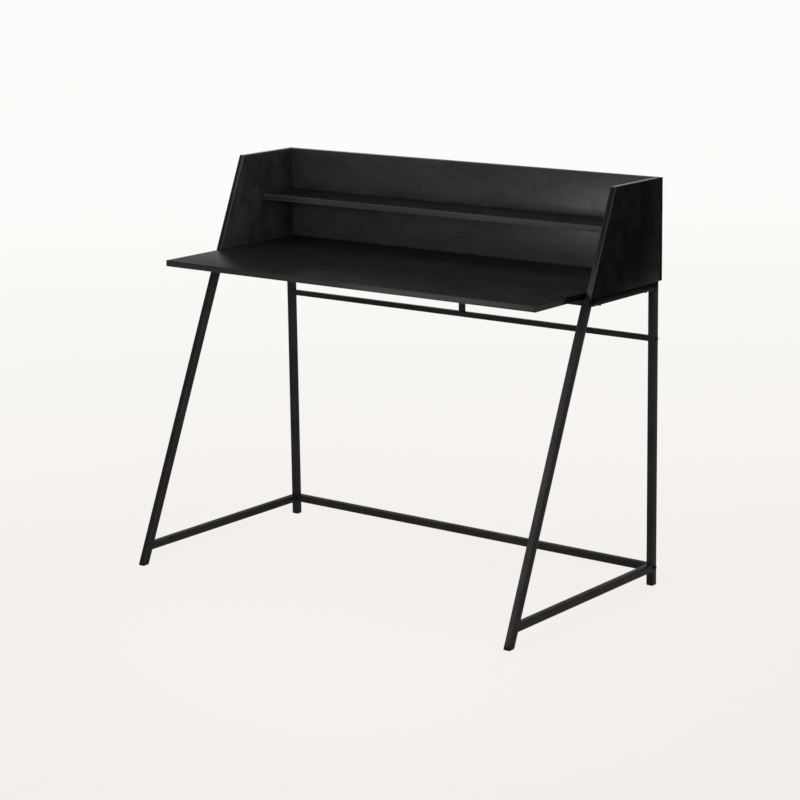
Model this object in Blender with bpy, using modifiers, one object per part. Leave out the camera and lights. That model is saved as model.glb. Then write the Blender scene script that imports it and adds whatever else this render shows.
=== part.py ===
"""Computer desk with a low hutch, on a welded square-tube frame.

Metres, +Z up, +X along the desk's width, +Y towards its back. The sizes below are measured from the floor
and from the front edge of the front feet. The root empty then moves the whole desk, so that the origin lies
on the floor, under the middle of the desk's box.
"""
import math

import bmesh
import bpy
from mathutils import Matrix, Vector

# Frame
FRAME_WIDTH = 1.130             # over the outer faces of the two side frames
FRAME_DEPTH = 0.6065            # front edge of the front feet to the rear faces of the rear legs
RAIL_TOP = 0.7365               # floor to the upper faces of the top rails
LEG_RAKE = math.radians(23.0)   # lean of the front legs
LOWER_RAIL_LIFT = 0.035         # floor to the undersides of the lower rails
UPPER_RAIL_LIFT = 0.5945        # floor to the underside of the upper rear rail
FRONT_RAIL_SETBACK = 0.0075     # front leg's rear face to the centre line of the front cross rail
TUBE = 0.018                    # square tube of the side frames and the two main cross rails
TUBE_WALL = 0.0012
TUBE_CORNER = 0.002
BAR = 0.013                     # lighter square tube of the upper rear rail and its post
BAR_WALL = 0.001
BAR_CORNER = 0.0015

# Boards
BOARD = 0.015                   # side panels, back panel and shelf
DESKTOP_THICKNESS = 0.015
DESKTOP_DEPTH = 0.4815
PANEL_OVERHANG = 0.002          # side panel's outer face beyond the tube's outer face
PANEL_SETBACK = 0.003           # side panel's raked edge behind the front face of the leg
PANEL_HEIGHT = 0.243
BACK_OVERHANG = 0.0125          # back panel's rear face behind the rear legs
SHELF_DEPTH = 0.118
SHELF_CLEARANCE = 0.1075        # worktop to the underside of the shelf
BOARD_EDGE = 0.0012             # rounding of the edges of the hutch boards
DESKTOP_EDGE = 0.0025           # rounding of the edges of the worktop

# Feet and plugs
FOOT_HEAD = 0.008
FOOT_FLARE = 0.0008             # foot's overhang past the tube
FOOT_ROUND = 0.002
FOOT_SPIGOT = 0.018
PLUG_HEAD = 0.002
PLUG_SPIGOT = 0.012

# Frame bolts and the threaded blocks in the ends of the cross rails
BOLT_RADIUS = 0.003
BOLT_HEAD_RADIUS = 0.0055
BOLT_HEAD_HEIGHT = 0.0033
BOLT_GRIP = 0.020               # length of the bolt inside the cross rail
SOCKET_RADIUS = 0.0023
SOCKET_DEPTH = 0.002
NUT_LENGTH = 0.016

# Screws and dowels of the boards
SCREW_RADIUS = 0.002
SCREW_HEAD_RADIUS = 0.004
SCREW_HEAD_HEIGHT = 0.0024
SCREW_SKIN = 0.005              # board left over the tip of a worktop screw
PANEL_SCREW_BITE = 0.026        # length of a panel screw inside the panel
PANEL_SCREW_INSET = 0.030       # panel screws from each end of the top rail, clear of the front bolt
RAIL_SCREW_SPREAD = 0.360       # worktop screws either side of the middle
BACK_SCREW_RADIUS = 0.0025
BACK_SCREW_HEAD_RADIUS = 0.0045
BACK_SCREW_HEAD_HEIGHT = 0.002
BACK_SCREW_BITE = 0.030         # length of a back screw beyond the back panel
BACK_SCREW_SPREAD = 0.380       # shelf and worktop screws either side of the middle
BACK_SCREW_INSET = 0.050        # screws into the side panels from the panel's top and bottom
DOWEL_RADIUS = 0.004
DOWEL_CHAMFER = 0.0008
DOWEL_BITE = 0.016              # length of a dowel inside the worktop or shelf
DOWEL_INSET = 0.028             # shelf dowels from the shelf's front and back edges
DESKTOP_DOWEL_SPREAD = 0.050    # worktop dowels either side of the middle of the top rail
BLIND_SKIN = 0.005              # side panel left behind a blind hole

HEAD_SOFTNESS = 0.45            # part of a screw head's height that is chamfered
POINT_TAPER = 0.6               # part of a shank's radius that is chamfered at its point
BOLT_SIDES = 16                 # sides of a round bolt or of its hole
SCREW_SIDES = 12                # sides of a round screw or dowel, or of its hole
SOCKET_SIDES = 6
EDGE_STEPS = 2                  # flats across a rounded edge of a tube or board
FOOT_STEPS = 3                  # flats across a rounded edge of a foot
WELD_DISTANCE = 0.00001         # points of a turned shape that become one
ALMOST_PARALLEL = 0.99          # cosine past which an edge counts as running along an axis
GAP = 0.0003                    # clearance between pieces that touch
CUT_MARGIN = 0.004              # how far a cutter runs past the face that it opens
SIDES = {"left": -1, "right": 1}

# Places that follow from the sizes above
RAKE_SLOPE = math.tan(LEG_RAKE)
RAKED_TUBE = TUBE / math.cos(LEG_RAKE)
RAKED_WALL = TUBE_WALL / math.cos(LEG_RAKE)
LEG_X = FRAME_WIDTH / 2 - TUBE / 2
REAR_Y = FRAME_DEPTH - TUBE / 2
TOP_RAIL_Z = RAIL_TOP - TUBE / 2
LOWER_RAIL_Z = LOWER_RAIL_LIFT + TUBE / 2
UPPER_RAIL_Z = UPPER_RAIL_LIFT + BAR / 2
LEG_BOTTOM = FOOT_HEAD + GAP
BOARD_BASE = RAIL_TOP + GAP
PANEL_OUTER = FRAME_WIDTH / 2 + PANEL_OVERHANG
PANEL_INNER = PANEL_OUTER - BOARD
PANEL_X = PANEL_OUTER - BOARD / 2
PANEL_TOP = BOARD_BASE + PANEL_HEIGHT
BACK_REAR = FRAME_DEPTH + BACK_OVERHANG
BACK_FRONT = BACK_REAR - BOARD
BOARD_REAR = BACK_FRONT - GAP
WORKTOP = BOARD_BASE + DESKTOP_THICKNESS
DESKTOP_Z = BOARD_BASE + DESKTOP_THICKNESS / 2
SHELF_Z = WORKTOP + SHELF_CLEARANCE + BOARD / 2
SHELF_FRONT = BOARD_REAR - SHELF_DEPTH
INNER_HALF = PANEL_INNER - GAP


def leg_front(z):
    """Front face of a front leg at one height."""
    return z * RAKE_SLOPE


def leg_rear(z):
    """Rear face of a front leg at one height."""
    return leg_front(z) + RAKED_TUBE


FRONT_RAIL_Y = leg_rear(TOP_RAIL_Z) + FRONT_RAIL_SETBACK
SCREW_X = (PANEL_INNER + FRAME_WIDTH / 2) / 2
PANEL_SCREW_Y = (FRONT_RAIL_Y + PANEL_SCREW_INSET, FRAME_DEPTH - TUBE - PANEL_SCREW_INSET)
PANEL_MID_Y = sum(PANEL_SCREW_Y) / 2
DESKTOP_DOWEL_Y = (PANEL_MID_Y - DESKTOP_DOWEL_SPREAD, PANEL_MID_Y + DESKTOP_DOWEL_SPREAD)
SHELF_DOWEL_Y = (SHELF_FRONT + DOWEL_INSET, BOARD_REAR - DOWEL_INSET)
BLIND_DEPTH = BOARD - BLIND_SKIN

# Scene: an empty scene, one collection for the desk, one for the cutters and a root that carries both
for old in list(bpy.data.objects):
    bpy.data.objects.remove(old, do_unlink=True)
DESK = bpy.data.collections.new("computer_desk")
CUTTERS = bpy.data.collections.new("cutters")
bpy.context.scene.collection.children.link(DESK)
bpy.context.scene.collection.children.link(CUTTERS)
ROOT = bpy.data.objects.new("computer_desk_root", None)
DESK.objects.link(ROOT)


def principled(name, colour, roughness, metallic=0.0):
    """One plain material for a kind of piece."""
    material = bpy.data.materials.new(name)
    material.use_nodes = True
    shader = material.node_tree.nodes["Principled BSDF"]
    shader.inputs["Base Color"].default_value = (*colour, 1.0)
    shader.inputs["Roughness"].default_value = roughness
    shader.inputs["Metallic"].default_value = metallic
    return material


COATED_STEEL = principled("black_powder_coat", (0.022, 0.022, 0.024), 0.45)
LAMINATE = principled("black_woodgrain_laminate", (0.020, 0.019, 0.019), 0.42)
BLACK_PLASTIC = principled("black_plastic", (0.018, 0.018, 0.018), 0.6)
BLACK_OXIDE = principled("black_oxide_steel", (0.030, 0.030, 0.032), 0.4, 0.8)
ZINC = principled("zinc_plated_steel", (0.56, 0.57, 0.58), 0.35, 1.0)
BEECH = principled("beech", (0.55, 0.37, 0.22), 0.6)


# Shape helpers

def box(size, rounding=0.0, along=None):
    """Box about the origin; its edges, or those along one axis, are rounded."""
    bm = bmesh.new()
    bmesh.ops.create_cube(bm, size=1.0)
    bmesh.ops.scale(bm, vec=size, verts=bm.verts)
    if rounding:
        edges = [e for e in bm.edges if along is None or is_along(e, along)]
        round_edges(bm, edges, rounding, EDGE_STEPS)
    return bm


def round_edges(bm, edges, radius, steps):
    bmesh.ops.bevel(bm, geom=edges, offset=radius, segments=steps, profile=0.5, affect="EDGES")


def is_along(edge, axis):
    start, end = (vert.co for vert in edge.verts)
    return abs((end - start).normalized()[axis]) > ALMOST_PARALLEL


def rake(bm):
    """Lean a shape back by the rake of the front legs."""
    bmesh.ops.transform(bm, matrix=Matrix.Shear("XY", 4, (0.0, RAKE_SLOPE)), verts=bm.verts)
    return bm


def rake_front(bm):
    """Lean only the front end of a shape, so that it lies along a front leg."""
    for vert in bm.verts:
        if vert.co.y < 0.0:
            vert.co.y += vert.co.z * RAKE_SLOPE
    return bm


def cylinder(radius, length, sides):
    """Cylinder about the origin, along Z."""
    bm = bmesh.new()
    bmesh.ops.create_cone(bm, cap_ends=True, segments=sides, radius1=radius, radius2=radius, depth=length)
    return bm


def to_mesh(bm, name):
    mesh = bpy.data.meshes.new(name)
    bm.to_mesh(mesh)
    bm.free()
    return mesh


def node(name, mesh, material, place):
    """One piece of the desk, at a location or by a matrix."""
    if not mesh.materials:
        mesh.materials.append(material)
    obj = bpy.data.objects.new(name, mesh)
    obj.matrix_basis = place if isinstance(place, Matrix) else Matrix.Translation(place)
    obj.parent = ROOT
    DESK.objects.link(obj)
    return obj


def cutter(name, mesh, location=(0.0, 0.0, 0.0)):
    """A hidden shape that cuts or joins a piece."""
    obj = bpy.data.objects.new(name, mesh)
    obj.location = location
    obj.parent = ROOT
    obj.hide_render = True
    obj.display_type = "WIRE"
    CUTTERS.objects.link(obj)
    return obj


def combine(obj, other, operation):
    modifier = obj.modifiers.new(operation.lower(), "BOOLEAN")
    modifier.operation = operation
    modifier.object = other


def evaluated_mesh(obj):
    """Mesh of an object with its modifiers applied."""
    depsgraph = bpy.context.evaluated_depsgraph_get()
    return bpy.data.meshes.new_from_object(obj.evaluated_get(depsgraph), depsgraph=depsgraph)


def turned(name, profile, steps):
    """Mesh turned about Z from a profile of radius and height, listed from its top down."""
    mesh = bpy.data.meshes.new(name)
    points = [(radius, 0.0, height) for radius, height in profile]
    mesh.from_pydata(points, [(i, i + 1) for i in range(len(points) - 1)], [])
    blank = bpy.data.objects.new(name, mesh)
    bpy.context.scene.collection.objects.link(blank)
    screw = blank.modifiers.new("turn", "SCREW")
    screw.steps = steps
    screw.render_steps = steps
    screw.use_merge_vertices = True
    screw.merge_threshold = WELD_DISTANCE
    result = evaluated_mesh(blank)
    bpy.data.objects.remove(blank, do_unlink=True)
    return result


def aim(position, direction):
    """Matrix that stands a shape at a position, with its +Z along a direction."""
    turn = Vector((0.0, 0.0, 1.0)).rotation_difference(Vector(direction)).to_matrix().to_4x4()
    return Matrix.Translation(position) @ turn


def drills(name, mesh, places):
    """One cutter with a copy of a shape at each place."""
    bm = bmesh.new()
    for place in places:
        first = len(bm.verts)
        bm.from_mesh(mesh)
        bm.verts.ensure_lookup_table()
        bmesh.ops.transform(bm, matrix=place, verts=bm.verts[first:])
    return cutter(name, to_mesh(bm, name))


def cut(pieces, tool):
    for piece in pieces:
        combine(piece, tool, "DIFFERENCE")


def screw_profile(head_radius, head_height, shank_radius, length):
    """Turned outline of a screw: head above zero, shank below it."""
    soft = head_height * HEAD_SOFTNESS
    point = shank_radius * POINT_TAPER
    return [
        (0.0, head_height),
        (head_radius - soft, head_height),
        (head_radius, head_height - soft),
        (head_radius, 0.0),
        (shank_radius, 0.0),
        (shank_radius, -length + point),
        (shank_radius - point, -length),
        (0.0, -length),
    ]


def with_hex_socket(mesh, head_height):
    """Bolt mesh with a hexagon socket sunk into its head."""
    blank = bpy.data.objects.new(mesh.name, mesh)
    bpy.context.scene.collection.objects.link(blank)
    height = SOCKET_DEPTH + CUT_MARGIN
    middle = head_height - SOCKET_DEPTH + height / 2
    hexagon = to_mesh(cylinder(SOCKET_RADIUS, height, SOCKET_SIDES), "socket")
    socket = cutter("socket", hexagon, (0.0, 0.0, middle))
    combine(blank, socket, "DIFFERENCE")
    result = evaluated_mesh(blank)
    bpy.data.objects.remove(blank, do_unlink=True)
    bpy.data.objects.remove(socket, do_unlink=True)
    return result


# Tubes

def tube(name, length, axis, location, side=TUBE, wall=TUBE_WALL, corner=TUBE_CORNER, reshape=None):
    """Hollow square tube, open at both ends, along one axis."""
    outer = [side, side, side]
    inner = [side - 2 * wall] * 3
    outer[axis] = length
    inner[axis] = length + 2 * CUT_MARGIN
    skin = box(outer, corner, axis)
    bore = box(inner)
    if reshape:
        reshape(skin)
        reshape(bore)
    piece = node(name, to_mesh(skin, name), COATED_STEEL, location)
    combine(piece, cutter(name + "_bore", to_mesh(bore, name + "_bore"), location), "DIFFERENCE")
    return piece


def raked_leg(name, location, height):
    """Front leg: a tube that leans back, cut level at both ends."""
    skin = rake(box((TUBE, RAKED_TUBE, height), TUBE_CORNER, 2))
    hollow = (TUBE - 2 * TUBE_WALL, RAKED_TUBE - 2 * RAKED_WALL, height + 2 * CUT_MARGIN)
    piece = node(name, to_mesh(skin, name), COATED_STEEL, location)
    bore = cutter(name + "_bore", to_mesh(rake(box(hollow)), name + "_bore"), location)
    combine(piece, bore, "DIFFERENCE")
    return piece


def side_rail(name, x, z):
    """Rail from the rear face of a front leg to a rear leg, its front end cut to the rake."""
    front = leg_rear(z) + GAP / math.cos(LEG_RAKE)
    rear = FRAME_DEPTH - TUBE - GAP
    return tube(name, rear - front, 1, (x, (front + rear) / 2, z), reshape=rake_front)


def build_side_frame(side, sign):
    """Four welded tubes of one side frame."""
    x = sign * LEG_X
    height = RAIL_TOP - LEG_BOTTOM
    middle = (RAIL_TOP + LEG_BOTTOM) / 2
    raked_leg(side + "_front_leg", (x, leg_front(middle) + RAKED_TUBE / 2, middle), height)
    rear_leg = tube(side + "_rear_leg", height, 2, (x, REAR_Y, middle))
    top_rail = side_rail(side + "_top_rail", x, TOP_RAIL_Z)
    side_rail(side + "_lower_rail", x, LOWER_RAIL_Z)
    return rear_leg, top_rail


def build_cross_rails():
    """Three rails bolted between the side frames, and the post that props the worktop's rear edge."""
    length = FRAME_WIDTH - 2 * TUBE - 2 * GAP
    front_rail = tube("front_cross_rail", length, 0, (0.0, FRONT_RAIL_Y, TOP_RAIL_Z))
    tube("rear_lower_rail", length, 0, (0.0, REAR_Y, LOWER_RAIL_Z))
    tube("rear_upper_rail", length, 0, (0.0, REAR_Y, UPPER_RAIL_Z), BAR, BAR_WALL, BAR_CORNER)
    foot = UPPER_RAIL_LIFT + BAR + GAP
    head = RAIL_TOP - PLUG_HEAD - GAP
    tube("rear_centre_post", head - foot, 2, (0.0, REAR_Y, (foot + head) / 2), BAR, BAR_WALL, BAR_CORNER)
    return front_rail


# Feet and plugs

def foot(name, x, y, spread, wall, reshape):
    """Plastic foot: a rounded head under the tube's end and a spigot inside the tube."""
    bare = box((TUBE + 2 * FOOT_FLARE, spread + 2 * FOOT_FLARE, FOOT_HEAD))
    upright = [e for e in bare.edges if is_along(e, 2)]
    under = [e for e in bare.edges if all(v.co.z < 0.0 for v in e.verts)]
    round_edges(bare, upright + under, FOOT_ROUND, FOOT_STEPS)
    overlap = FOOT_HEAD / 2
    spigot = box((TUBE - 2 * TUBE_WALL - 2 * GAP, spread - 2 * wall - 2 * GAP, FOOT_SPIGOT + overlap))
    bmesh.ops.translate(spigot, vec=(0.0, 0.0, (FOOT_SPIGOT + overlap) / 2), verts=spigot.verts)
    place = (x, y, FOOT_HEAD / 2)
    piece = node(name, to_mesh(reshape(bare), name), BLACK_PLASTIC, place)
    combine(piece, cutter(name + "_spigot", to_mesh(reshape(spigot), name + "_spigot"), place), "UNION")


def build_feet(side, sign):
    x = sign * LEG_X
    front_y = leg_front(FOOT_HEAD / 2) + RAKED_TUBE / 2
    foot(side + "_front_foot", x, front_y, RAKED_TUBE, RAKED_WALL, rake)
    foot(side + "_rear_foot", x, REAR_Y, TUBE, TUBE_WALL, lambda bm: bm)


def build_post_plug():
    """Plug in the post's upper end, under the worktop."""
    middle = RAIL_TOP - PLUG_HEAD / 2
    inner = BAR - 2 * BAR_WALL - 2 * GAP
    overlap = PLUG_HEAD / 2
    piece = node("post_top_plug", to_mesh(box((BAR, BAR, PLUG_HEAD), BAR_CORNER, 2), "post_top_plug"),
                 BLACK_PLASTIC, (0.0, REAR_Y, middle))
    spigot = to_mesh(box((inner, inner, PLUG_SPIGOT + overlap)), "plug_spigot")
    low = middle - (PLUG_SPIGOT + overlap) / 2
    combine(piece, cutter("plug_spigot", spigot, (0.0, REAR_Y, low)), "UNION")


# Frame bolts

BOLTED_RAILS = {
    "front_cross_rail": (FRONT_RAIL_Y, TOP_RAIL_Z, TUBE - 2 * TUBE_WALL),
    "rear_upper_rail": (REAR_Y, UPPER_RAIL_Z, BAR - 2 * BAR_WALL),
    "rear_lower_rail": (REAR_Y, LOWER_RAIL_Z, TUBE - 2 * TUBE_WALL),
}


def build_frame_bolts(side, sign, rear_leg, top_rail):
    """Three bolts from outside, through the side frame and into the cross rails."""
    profile = screw_profile(BOLT_HEAD_RADIUS, BOLT_HEAD_HEIGHT, BOLT_RADIUS, TUBE + BOLT_GRIP)
    bolt = with_hex_socket(turned("frame_bolt", profile, BOLT_SIDES), BOLT_HEAD_HEIGHT)
    face = sign * (FRAME_WIDTH / 2 + GAP)
    middles = []
    for rail, (y, z, _) in BOLTED_RAILS.items():
        node(f"{side}_{rail}_bolt", bolt, BLACK_OXIDE, aim((face, y, z), (sign, 0.0, 0.0)))
        middles.append(aim((sign * LEG_X, y, z), (1.0, 0.0, 0.0)))
    drill = to_mesh(cylinder(BOLT_RADIUS + GAP, TUBE + 2 * CUT_MARGIN, BOLT_SIDES), "bolt_drill")
    cut([rear_leg, top_rail], drills(side + "_bolt_holes", drill, middles))


def build_rail_nuts(side, sign):
    """Threaded blocks pressed into the ends of the cross rails on one side."""
    x = sign * (FRAME_WIDTH / 2 - TUBE - 2 * GAP - NUT_LENGTH / 2)
    drill = to_mesh(cylinder(BOLT_RADIUS + GAP, NUT_LENGTH + 2 * CUT_MARGIN, BOLT_SIDES), "nut_drill")
    for rail, (y, z, hollow) in BOLTED_RAILS.items():
        name = f"{side}_{rail}_nut"
        across = hollow - 2 * GAP
        piece = node(name, to_mesh(box((NUT_LENGTH, across, across)), name), ZINC, (x, y, z))
        cut([piece], drills(name + "_hole", drill, [aim((x, y, z), (1.0, 0.0, 0.0))]))


# Boards

def build_boards():
    """Worktop, two side panels, back panel and shelf, by name."""
    boards = {}
    height = PANEL_TOP - BOARD_BASE
    middle = BOARD_BASE + height / 2
    front = leg_front(middle) + PANEL_SETBACK
    panel_y = (front + BOARD_REAR) / 2
    for side, sign in SIDES.items():
        name = side + "_side_panel"
        panel = box((BOARD, BOARD_REAR - front, height))
        rake_front(panel)
        round_edges(panel, panel.edges, BOARD_EDGE, EDGE_STEPS)
        boards[name] = node(name, to_mesh(panel, name), LAMINATE, (sign * PANEL_X, panel_y, middle))
    boxes = {
        "back_panel": ((2 * PANEL_OUTER, BOARD, height), (BACK_FRONT + BACK_REAR) / 2, middle, BOARD_EDGE),
        "shelf": ((2 * INNER_HALF, SHELF_DEPTH, BOARD), BOARD_REAR - SHELF_DEPTH / 2, SHELF_Z, BOARD_EDGE),
        "desktop": ((2 * INNER_HALF, DESKTOP_DEPTH, DESKTOP_THICKNESS), BOARD_REAR - DESKTOP_DEPTH / 2,
                    DESKTOP_Z, DESKTOP_EDGE),
    }
    for name, (size, y, z, rounding) in boxes.items():
        boards[name] = node(name, to_mesh(box(size, rounding), name), LAMINATE, (0.0, y, z))
    return boards


def build_rail_screws(name, spots, bite, pieces):
    """Screws from below, through a rail and into the board that it carries."""
    length = TUBE + bite
    profile = screw_profile(SCREW_HEAD_RADIUS, SCREW_HEAD_HEIGHT, SCREW_RADIUS, length)
    screw = turned(name, profile, SCREW_SIDES)
    seat = RAIL_TOP - TUBE - GAP
    depth = length + CUT_MARGIN + GAP
    middle = seat - CUT_MARGIN + depth / 2
    for label, (x, y) in spots.items():
        node(f"{name}_{label}", screw, BLACK_OXIDE, aim((x, y, seat), (0.0, 0.0, -1.0)))
    drill = to_mesh(cylinder(SCREW_RADIUS + GAP, depth, SCREW_SIDES), name + "_drill")
    places = [Matrix.Translation((x, y, middle)) for x, y in spots.values()]
    cut(pieces, drills(name + "_holes", drill, places))


def build_back_screws(name, spots, pieces):
    """Screws from behind, through the back panel and into the edge of another board."""
    length = BOARD - BACK_SCREW_HEAD_HEIGHT + BACK_SCREW_BITE
    profile = screw_profile(BACK_SCREW_HEAD_RADIUS, BACK_SCREW_HEAD_HEIGHT, BACK_SCREW_RADIUS, length)
    screw = turned(name, profile, SCREW_SIDES)
    seat = BACK_REAR - BACK_SCREW_HEAD_HEIGHT - GAP
    places = {label: aim((x, seat, z), (0.0, 1.0, 0.0)) for label, (x, z) in spots.items()}
    for label, place in places.items():
        node(f"{name}_{label}", screw, ZINC, place)
    wide = BACK_SCREW_HEAD_RADIUS + GAP
    narrow = BACK_SCREW_RADIUS + GAP
    tip = -length - GAP
    bore = [(0.0, CUT_MARGIN), (wide, CUT_MARGIN), (wide, -GAP), (narrow, -GAP), (narrow, tip), (0.0, tip)]
    cut(pieces, drills(name + "_holes", turned(name + "_bore", bore, SCREW_SIDES), places.values()))


def build_dowels(name, spots, pieces):
    """Dowels across the joint between a board's ends and the side panels."""
    bite = BLIND_DEPTH - GAP
    profile = [(0.0, bite), (DOWEL_RADIUS - DOWEL_CHAMFER, bite), (DOWEL_RADIUS, bite - DOWEL_CHAMFER),
               (DOWEL_RADIUS, DOWEL_CHAMFER - DOWEL_BITE), (DOWEL_RADIUS - DOWEL_CHAMFER, -DOWEL_BITE),
               (0.0, -DOWEL_BITE)]
    dowel = turned(name, profile, SCREW_SIDES)
    places = {f"{side}_{label}": aim((sign * PANEL_INNER, y, z), (sign, 0.0, 0.0))
              for side, sign in SIDES.items() for label, (y, z) in spots.items()}
    for label, place in places.items():
        node(f"{name}_{label}", dowel, BEECH, place)
    wide = DOWEL_RADIUS + GAP
    deep = -DOWEL_BITE - GAP
    bore = [(0.0, BLIND_DEPTH), (wide, BLIND_DEPTH), (wide, deep), (0.0, deep)]
    cut(pieces, drills(name + "_holes", turned(name + "_bore", bore, SCREW_SIDES), places.values()))


def centre_on_origin():
    """Move the root so that the middle of the desk's box lies over the origin."""
    bpy.context.view_layer.update()
    depsgraph = bpy.context.evaluated_depsgraph_get()
    depths = []
    for obj in DESK.objects:
        if obj.type == "MESH":
            shown = obj.evaluated_get(depsgraph)
            depths += [(shown.matrix_world @ Vector(corner)).y for corner in shown.bound_box]
    ROOT.location.y = -(min(depths) + max(depths)) / 2


def across(spread, other):
    """Three spots along the width, by name."""
    return {"left": (-spread, other), "middle": (0.0, other), "right": (spread, other)}


def build():
    boards = build_boards()
    panels = [boards["left_side_panel"], boards["right_side_panel"]]
    front_rail = build_cross_rails()
    build_post_plug()
    for side, sign in SIDES.items():
        rear_leg, top_rail = build_side_frame(side, sign)
        build_feet(side, sign)
        build_frame_bolts(side, sign, rear_leg, top_rail)
        build_rail_nuts(side, sign)
        spots = {label: (sign * SCREW_X, y) for label, y in zip(("front", "rear"), PANEL_SCREW_Y)}
        panel = boards[side + "_side_panel"]
        build_rail_screws(side + "_panel_screw", spots, PANEL_SCREW_BITE, [top_rail, panel])
    desktop = boards["desktop"]
    spots = across(RAIL_SCREW_SPREAD, FRONT_RAIL_Y)
    build_rail_screws("desktop_screw", spots, DESKTOP_THICKNESS - SCREW_SKIN, [front_rail, desktop])
    back = boards["back_panel"]
    heights = {"lower": BOARD_BASE + BACK_SCREW_INSET, "upper": PANEL_TOP - BACK_SCREW_INSET}
    spots = {f"{side}_{label}": (sign * PANEL_X, z)
             for side, sign in SIDES.items() for label, z in heights.items()}
    build_back_screws("back_to_side_screw", spots, [back, *panels])
    build_back_screws("back_to_shelf_screw", across(BACK_SCREW_SPREAD, SHELF_Z), [back, boards["shelf"]])
    build_back_screws("back_to_desktop_screw", across(BACK_SCREW_SPREAD, DESKTOP_Z), [back, desktop])
    spots = {label: (y, DESKTOP_Z) for label, y in zip(("front", "rear"), DESKTOP_DOWEL_Y)}
    build_dowels("desktop_dowel", spots, [desktop, *panels])
    spots = {label: (y, SHELF_Z) for label, y in zip(("front", "rear"), SHELF_DOWEL_Y)}
    build_dowels("shelf_dowel", spots, [boards["shelf"], *panels])
    centre_on_origin()


build()
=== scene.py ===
# %% [markdown]
# # A black computer desk with a low hutch
# The real desk is a flat-pack one: five black laminate boards on a frame of square steel tube. The packed
# CAD model comes first, because every piece below takes its size and place from it. A CAD solid could
# simply be painted, but its tubes have coarse corners and its boards have no edge bands. So the pieces that
# show are modelled again here with softer corners, and the hidden ones only get a better finish.

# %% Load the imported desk
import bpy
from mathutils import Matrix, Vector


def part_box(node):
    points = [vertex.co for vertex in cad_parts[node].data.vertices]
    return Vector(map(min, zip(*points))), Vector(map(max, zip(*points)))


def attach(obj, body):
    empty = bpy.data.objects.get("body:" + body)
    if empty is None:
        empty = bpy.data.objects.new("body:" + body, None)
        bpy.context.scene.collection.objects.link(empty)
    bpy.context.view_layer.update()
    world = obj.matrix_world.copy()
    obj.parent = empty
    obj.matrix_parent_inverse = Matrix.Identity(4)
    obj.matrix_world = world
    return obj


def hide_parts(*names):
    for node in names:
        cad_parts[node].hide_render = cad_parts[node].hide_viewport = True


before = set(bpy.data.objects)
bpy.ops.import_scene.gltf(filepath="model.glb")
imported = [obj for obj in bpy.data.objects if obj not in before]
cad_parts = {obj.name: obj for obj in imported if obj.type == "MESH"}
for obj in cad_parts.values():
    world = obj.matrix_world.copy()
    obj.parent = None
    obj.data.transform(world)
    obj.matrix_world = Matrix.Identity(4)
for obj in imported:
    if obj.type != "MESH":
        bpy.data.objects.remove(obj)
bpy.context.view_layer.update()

# %% Other modules and the colour transform
import math

import bmesh
import bpy
from mathutils import Matrix, Vector

bpy.context.scene.view_settings.view_transform = "Standard"
print("view transform:", bpy.context.scene.view_settings.view_transform)

# %% [markdown]
# ## Camera
# The photograph was taken from the front right, a little above the desk, with a long lens. The camera's
# place, turn and focal length were found by fitting the desk's straight edges to the picture. A camera
# could be placed by eye and nudged, but a fit puts every edge within a few pixels at once. The turn is
# written as three directions, because a small roll is easier to read that way than as Euler angles.

# %% Camera from the fit
FOCAL_PIXELS = 2374.3       # focal length, in pixels of the 800-pixel frame
FRAME_PIXELS = 800
SENSOR_MM = 36.0
CAMERA_PLACE = Vector((3.4575, -4.3644, 1.7041))
CAMERA_YAW = 0.6659         # in radians, as the two below
CAMERA_PITCH = 0.1988
CAMERA_ROLL = -0.0143
CAMERA_SHIFT_Y = -0.075


def camera_turn(yaw, pitch, roll):
    """Rotation whose columns are the camera's right, up and backward directions."""
    right = Vector((math.cos(yaw), math.sin(yaw), 0.0))
    level = Vector((-math.sin(yaw), math.cos(yaw), 0.0))
    forward = level * math.cos(pitch) - Vector((0.0, 0.0, math.sin(pitch)))
    up = right.cross(forward)
    rolled_right = right * math.cos(roll) + up * math.sin(roll)
    rolled_up = up * math.cos(roll) - right * math.sin(roll)
    return Matrix((rolled_right, rolled_up, -forward)).transposed()


camera_data = bpy.data.cameras.new("desk_camera")
camera_data.sensor_width = SENSOR_MM
camera_data.lens = FOCAL_PIXELS / FRAME_PIXELS * SENSOR_MM
camera_data.shift_y = CAMERA_SHIFT_Y
camera = bpy.data.objects.new("desk_camera", camera_data)
camera.matrix_world = (Matrix.Translation(CAMERA_PLACE)
                       @ camera_turn(CAMERA_YAW, CAMERA_PITCH, CAMERA_ROLL).to_4x4())
bpy.context.scene.collection.objects.link(camera)
bpy.context.scene.camera = camera
print("camera lens:", round(camera_data.lens, 1), "mm")

# %% [markdown]
# ## Node helpers
# A finish is a small network of nodes: a pattern in metres, a few noises read from it, and one Principled
# shader. Each finish could be wired by hand, but the same few steps come back in all of them, so they are
# functions. Patterns read Object coordinates: every piece sits at the origin with its place in its mesh, so
# these are metres in the desk's own frame and a pattern runs on from piece to piece.

# %% A new finish, and nodes for it
def new_finish(name):
    """A material, its node tree and its Principled shader."""
    material = bpy.data.materials.new(name)
    material.use_nodes = True
    return material, material.node_tree, material.node_tree.nodes["Principled BSDF"]


def add_node(tree, kind, settings=None, **links):
    """A node of a kind, with some inputs set by name and others linked."""
    node = tree.nodes.new("ShaderNode" + kind)
    for key, value in (settings or {}).items():
        node.inputs[key].default_value = value
    for key, socket in links.items():
        tree.links.new(socket, node.inputs[key])
    return node


print("a finish starts with a Principled shader")

# %% Patterns in metres
METRES = (1.0, 1.0, 1.0)    # a pattern that is not stretched: plain places on the piece


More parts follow.
